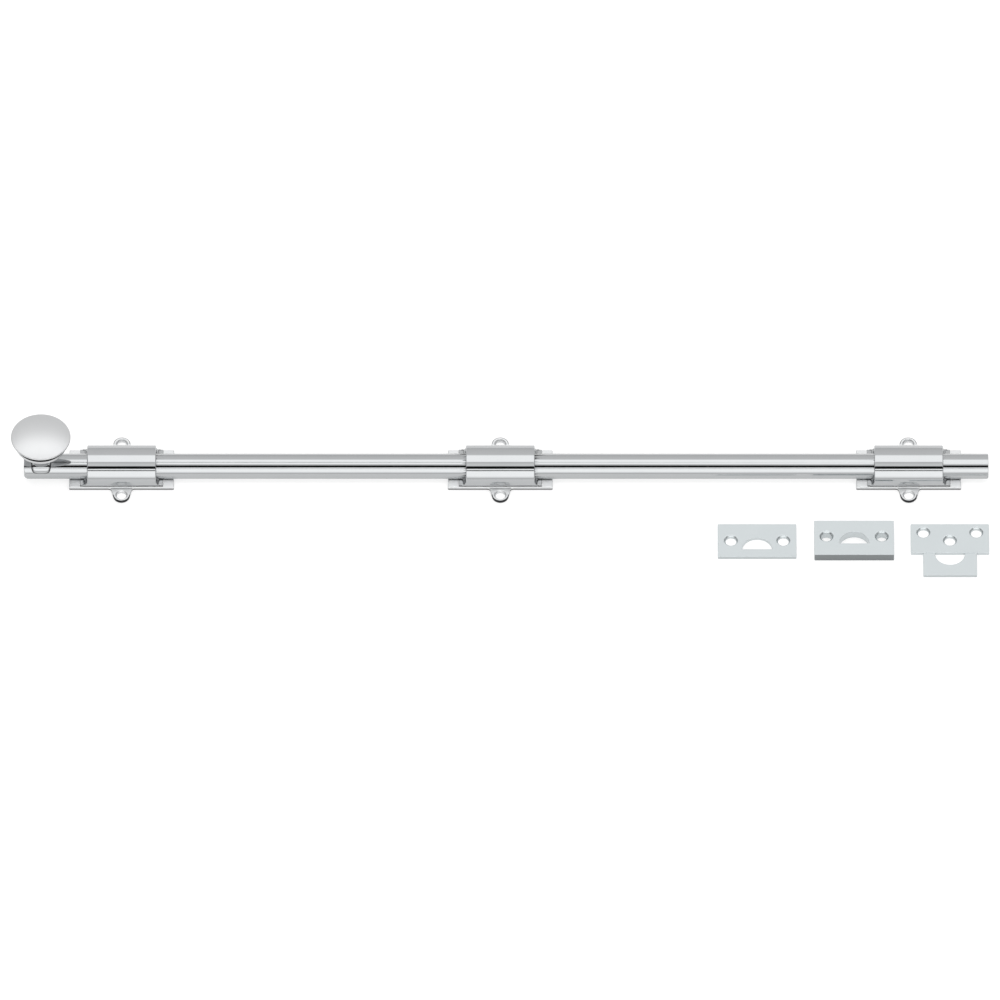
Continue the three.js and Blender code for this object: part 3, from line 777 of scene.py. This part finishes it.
def knob_profile(low, rim_radius):
    """From the neck's foot to the crest: neck, flared bowl, crease, rolled rim and cap."""
    bowl_x = KNOB_BOWL_RADIUS - KNOB_BOWL_ROUND
    bowl_up = KNOB_BOWL_FOOT + KNOB_BOWL_ROUND
    profile = [(0, low), (NECK_RADIUS - 0.3 * MM, low), (NECK_RADIUS, low + 0.3 * MM)]
    flare_control = (NECK_RADIUS, KNOB_BOWL_FOOT - KNOB_FLARE_BELOW)
    profile += bend((NECK_RADIUS, low + 3 * MM), flare_control, (bowl_x, KNOB_BOWL_FOOT), 28)
    profile += arc(bowl_x, bowl_up, KNOB_BOWL_ROUND, -90, 0, 16)[1:]
    edge_x = KNOB_BOWL_RADIUS - KNOB_BOWL_EDGE
    profile += arc(edge_x, KNOB_BOWL_TOP - KNOB_BOWL_EDGE, KNOB_BOWL_EDGE, 0, 90, 6)
    crease_x = KNOB_CREASE_RADIUS + 0.2 * MM
    profile += [
        (crease_x, KNOB_BOWL_TOP),
        (KNOB_CREASE_RADIUS, KNOB_BOWL_TOP + 0.2 * MM),
        (KNOB_CREASE_RADIUS, KNOB_CREASE_UP - 0.2 * MM),
        (crease_x, KNOB_CREASE_UP + 0.05 * MM),
    ]
    roll_x = rim_radius - KNOB_ROLL_RADIUS
    profile += arc(roll_x, KNOB_RIM_UP, KNOB_ROLL_RADIUS, -60, 90 - KNOB_CAP_SLOPE, 20)
    cap_radius, cap_foot = profile[-1]
    slope = math.radians(KNOB_CAP_SLOPE)
    sphere = cap_radius / math.sin(slope)
    centre = cap_foot - sphere * math.cos(slope)
    steps = 28
    for i in range(1, steps + 1):
        angle = slope * (1 - i / steps)
        profile.append((sphere * math.sin(angle), centre + sphere * math.cos(angle)))
    return profile


def knob(knob_x):
    low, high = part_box("knob")
    screw_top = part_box("knob_screw")[1].z
    profile = knob_profile(low.z, (high.x - low.x) / 2)
    piece = turned("mushroom_knob", profile, knob_x, 0, 160)
    cut_knob_screw_hole(piece, knob_x, screw_top + SLIP_GAP)
    return finish_piece(piece, "knob", "bolt", knob_chrome_and_painted_shade)


def collar_point(u, v, outside):
    """A point of the collar's pillow. u runs across it and v around the rod, both from -1 to 1.

    The result is the place along X, the radius and the angle from straight up.
    """
    edge = max(abs(u), abs(v)) ** 8
    inner = COLLAR_INNER + COLLAR_EDGE_LIFT * edge
    across = max(0.0, 1 - abs(u) ** 3) ** 0.5
    around = max(0.0, 1 - abs(v) ** 8) ** 0.5
    radius = inner + (COLLAR_OUTER - inner) * across * around if outside else inner
    narrowing = 1 - 0.16 * abs(v) ** 6
    angle = COLLAR_WRAP * v * (1 - 0.1 * abs(u) ** 5)
    return u * narrowing, radius, math.radians(angle)


def collar_strap(knob_x, half_width, axis_up):
    """A pillowed strap over the rod's round face, from an inner and an outer sheet."""
    across, around = 40, 80
    verts = []
    for outside in (False, True):
        for i in range(across + 1):
            for j in range(around + 1):
                u = -math.cos(math.pi * i / across)
                v = -math.cos(math.pi * j / around)
                x, radius, angle = collar_point(u, v, outside)
                side, up = radius * math.sin(angle), radius * math.cos(angle)
                verts.append((knob_x + half_width * x, side, axis_up + up))
    faces = []
    row = around + 1
    sheet = (across + 1) * row
    for side in (0, 1):
        for i in range(across):
            for j in range(around):
                a = side * sheet + i * row + j
                faces.append((a, a + 1, a + row + 1, a + row))
    return object_from("collar", verts, faces)


def knob_collar(knob_x):
    """The strap, with a boss under the knob's neck."""
    low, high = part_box("knob_collar")
    axis_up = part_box("bolt_rod")[0].z
    strap = collar_strap(knob_x, (high.x - low.x) / 2, axis_up)
    boss_foot = axis_up + COLLAR_INNER + 0.4 * MM
    profile = [
        (0, boss_foot),
        (BOSS_RADIUS, boss_foot),
        (BOSS_RADIUS, high.z - 0.3 * MM),
        (BOSS_TOP_RADIUS, high.z),
        (0, high.z),
    ]
    combine(strap, turned("boss_tool", profile, knob_x), "UNION")
    cut_knob_screw_hole(strap, knob_x, high.z + OVERCUT)
    return finish_piece(strap, "knob_collar", "bolt", collar_chrome_and_painted_shade)


# ------------------------------------------------------------------ strikes


def half_moon(x, sill, side):
    """The tool for a half-moon window with its flat side at y = sill."""
    start = 0 if side > 0 else 180
    outline = arc(x, sill, HALF_MOON_RADIUS, start, start + 180, 72)
    return prism("window_tool", outline, -OVERCUT, 12 * MM)


def strike_outline(x0, y0, x1, y1):
    return rounded_box(x0, y0, x1, y1, STRIKE_CORNER, STRIKE_CORNER, 6)


def plate_strike(node, sill_from_front, half_pitch, hole_from_back, wall_painted_shade):
    low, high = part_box(node)
    x = (low.x + high.x) / 2
    outline = strike_outline(low.x, low.y, high.x, high.y)
    strike = prism(f"{node}_plate", outline, 0, high.z)
    cut(strike, half_moon(x, low.y + sill_from_front, 1))
    for side in (-1, 1):
        hole_x = x + side * half_pitch
        cut(strike, countersink(hole_x, high.y - hole_from_back, high.z, STRIKE_HOLE))
    ease_edges(strike, STRIKE_EDGE)
    # Chrome with painted shade on the strike's front wall.
    chrome_and_painted_shade = strike_chrome_and_painted_shade(node, wall_painted_shade)
    return finish_piece(strike, node, "guides", chrome_and_painted_shade)


def tongue_strike():
    low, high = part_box("tongue_strike")
    x = (low.x + high.x) / 2
    front = low.y + TONGUE_WIDTH
    strike = prism("tongue_plate", strike_outline(low.x, front, high.x, high.y), 0, high.z)
    half = TONGUE_LENGTH / 2
    tongue = strike_outline(x - half, low.y, x + half, front + TONGUE_OVERLAP)
    combine(strike, prism("tongue_tool", tongue, 0, TONGUE_THICKNESS), "UNION")
    cut(strike, half_moon(x, front, -1))
    for across, back in TONGUE_HOLES:
        cut(strike, countersink(x + across, high.y - back, high.z, STRIKE_HOLE))
    ease_edges(strike, STRIKE_EDGE)
    # Chrome with painted shade on the strike's front wall.
    chrome_and_painted_shade = strike_chrome_and_painted_shade("tongue_strike", TONGUE_WALL_PAINTED_SHADE)
    return finish_piece(strike, "tongue_strike", "guides", chrome_and_painted_shade)


# ------------------------------------------------------------------ studio


# The floor is a light table, lit from above and glowing a little from below.
TABLE_GLOW = 0.72
TABLE_HALF = 4.0
TABLE_THICKNESS = 0.02
TABLE_TONES = (0.37, 0.39)


def studio_floor():
    size = TABLE_HALF
    outline = [(-size, -size), (size, -size), (size, size), (-size, size)]
    floor = prism("studio_floor", outline, -TABLE_THICKNESS, 0)
    material = bpy.data.materials.new("pale_floor")
    material.use_nodes = True
    nodes = material.node_tree.nodes
    links = material.node_tree.links
    shader = nodes["Principled BSDF"]
    shader.inputs["Roughness"].default_value = 0.9
    shader.inputs["Specular IOR Level"].default_value = 0.1
    shader.inputs["Emission Color"].default_value = (1, 1, 1, 1)
    shader.inputs["Emission Strength"].default_value = TABLE_GLOW
    place = nodes.new("ShaderNodeTexCoord").outputs["Object"]
    grain = value_noise(nodes, links, place, 6)
    tone = nodes.new("ShaderNodeMix")
    tone.data_type = "RGBA"
    for socket, level in zip(("A", "B"), TABLE_TONES):
        tone.inputs[socket].default_value = (level, level, level, 1)
    links.new(grain, tone.inputs["Factor"])
    links.new(tone.outputs["Result"], shader.inputs["Base Color"])
    floor.data.materials.append(material)


# The studio's long softboxes run along X. Each stop is the angle from straight up towards the
# viewer's side, in degrees, and how bright the studio is there.
SOFTBOXES = [
    (-180, 1.03),
    (-125, 0.72),
    (-100, 0.76),
    (-70, 0.97),
    (-34, 1.08),
    (-27, 1.88),
    (8, 1.88),
    (9.5, 0.95),
    (11.5, 1),
    (13, 1.2),
    (17.5, 1.25),
    (20, 0.02),
    (36, 0.02),
    (38.5, 1.92),
    (44, 1.92),
    (44.6, 0.05),
    (46.2, 0.05),
    (46.8, 1.92),
    (70, 1.92),
    (82, 0.94),
    (90, 1.0),
    (180, 1.03),
]
BRIGHTEST = 1.92
BACKGROUND = 0.98
# The softboxes end here: how far along X a direction leans where they fade, and what is left.
FADE_FROM = 0.5
FADE_TO = 0.85
SIDE_SHARE = 0.4


def math_node(nodes, links, operation, *sources):
    """A node of arithmetic on sockets, in order."""
    node = nodes.new("ShaderNodeMath")
    node.operation = operation
    for i, source in enumerate(sources):
        links.new(source, node.inputs[i])
    return node


def softbox_levels(nodes, links, split):
    """The softboxes' brightness, as a share of the brightest, by a direction's angle about X."""
    toward = math_node(nodes, links, "MULTIPLY", split.outputs["Y"])
    toward.inputs[1].default_value = -1
    angle = math_node(nodes, links, "ARCTAN2", toward.outputs["Value"], split.outputs["Z"])
    share = nodes.new("ShaderNodeMapRange")
    share.inputs["From Min"].default_value = -math.pi
    share.inputs["From Max"].default_value = math.pi
    links.new(angle.outputs["Value"], share.inputs["Value"])
    boxes = nodes.new("ShaderNodeValToRGB")
    stops = boxes.color_ramp.elements
    while len(stops) < len(SOFTBOXES):
        stops.new(0.5)
    for stop, (degrees, level) in zip(stops, SOFTBOXES):
        stop.position = (degrees + 180) / 360
        tone = level / BRIGHTEST
        stop.color = (tone, tone, tone, 1)
    links.new(share.outputs["Result"], boxes.inputs["Fac"])
    return boxes.outputs["Color"]


def side_fade(nodes, links, split):
    """The light's strength, which fades past the softboxes' ends."""
    lean = math_node(nodes, links, "ABSOLUTE", split.outputs["X"])
    fade = nodes.new("ShaderNodeMapRange")
    fade.interpolation_type = "SMOOTHSTEP"
    fade.inputs["From Min"].default_value = FADE_FROM
    fade.inputs["From Max"].default_value = FADE_TO
    fade.inputs["To Min"].default_value = BRIGHTEST
    fade.inputs["To Max"].default_value = BRIGHTEST * SIDE_SHARE
    links.new(lean.outputs["Value"], fade.inputs["Value"])
    return fade.outputs["Result"]


def studio_light():
    """The softboxes, and an even backdrop where the camera looks past the floor."""
    world = bpy.data.worlds.new("studio")
    bpy.context.scene.world = world
    world.use_nodes = True
    nodes = world.node_tree.nodes
    links = world.node_tree.links
    nodes.clear()
    split = nodes.new("ShaderNodeSeparateXYZ")
    links.new(nodes.new("ShaderNodeTexCoord").outputs["Generated"], split.inputs["Vector"])
    light = nodes.new("ShaderNodeBackground")
    links.new(softbox_levels(nodes, links, split), light.inputs["Color"])
    links.new(side_fade(nodes, links, split), light.inputs["Strength"])
    backdrop = nodes.new("ShaderNodeBackground")
    backdrop.inputs["Color"].default_value = (BACKGROUND, BACKGROUND, BACKGROUND, 1)
    pick = nodes.new("ShaderNodeMixShader")
    links.new(nodes.new("ShaderNodeLightPath").outputs["Is Camera Ray"], pick.inputs["Fac"])
    links.new(light.outputs["Background"], pick.inputs[1])
    links.new(backdrop.outputs["Background"], pick.inputs[2])
    output = nodes.new("ShaderNodeOutputWorld")
    links.new(pick.outputs["Shader"], output.inputs["Surface"])


CAMERA_ELEVATION = 50
CAMERA_TARGET = (-0.2 * MM, -28.2 * MM, PLATE_THICKNESS)
# What the picture's width covers at the target, and the lens and film width, in mm as lenses are.
VIEW_WIDTH = 684.35 * MM
LENS = 1200
FILM_WIDTH = 36


def studio_camera():
    """A long lens, square on to the rod."""
    elevation = math.radians(CAMERA_ELEVATION)
    lens = bpy.data.cameras.new("camera")
    lens.lens = LENS
    lens.sensor_width = FILM_WIDTH
    lens.clip_end = 100
    distance = VIEW_WIDTH * lens.lens / lens.sensor_width
    camera = bpy.data.objects.new("camera", lens)
    bpy.context.scene.collection.objects.link(camera)
    away = Vector((0, -math.cos(elevation), math.sin(elevation)))
    camera.location = Vector(CAMERA_TARGET) + away * distance
    camera.rotation_euler = (-away).to_track_quat("-Z", "Y").to_euler()
    bpy.context.scene.camera = camera
    bpy.context.scene.view_settings.view_transform = "Standard"


# ------------------------------------------------------------------ the whole set

studio_camera()
studio_light()
studio_floor()

knob_low, knob_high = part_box("knob")
KNOB_X = (knob_low.x + knob_high.x) / 2

# Painted shade along the saddle's foot, in the knob's crease and at the collar's edge.
# Each material has the way its distance is measured, from where, and the distances at which it is
# unshaded and fully shaded.
rod_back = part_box("bolt_rod")[0].z
for chrome_and_painted_shade, axes, centre, unshaded_at, fully_shaded_at in (
    (saddle_chrome_and_painted_shade, UPRIGHT, (0, 0, PLATE_THICKNESS), 0.78 * MM, 0.7 * MM),
    (knob_chrome_and_painted_shade, UPRIGHT, (0, 0, KNOB_CREASE_UP), 0.9 * MM, 0.65 * MM),
    (collar_chrome_and_painted_shade, AROUND_X, (0, 0, rod_back), 11.6 * MM, 11 * MM),
):
    paint_shade(chrome_and_painted_shade, painted_shade_amount(chrome_and_painted_shade, axes, centre, unshaded_at, fully_shaded_at))

for guide in ("tail", "centre", "tip"):
    guide_base(guide)
    guide_saddle(guide)
    friction_spring(guide)
    for number in range(1, 5):
        node = f"{guide}_guide_screw_{number}"
        countersunk_screw(f"{guide}_saddle_screw_{number}", node, "guides", *GUIDE_SCREW)
stop_pin()

bolt_rod(KNOB_X)
knob(KNOB_X)
knob_collar(KNOB_X)
countersunk_screw("knob_fixing_screw", "knob_screw", "bolt", *KNOB_SCREW)

for strike_node, strike_sizes in PLATE_STRIKES.items():
    plate_strike(strike_node, *strike_sizes)
tongue_strike()
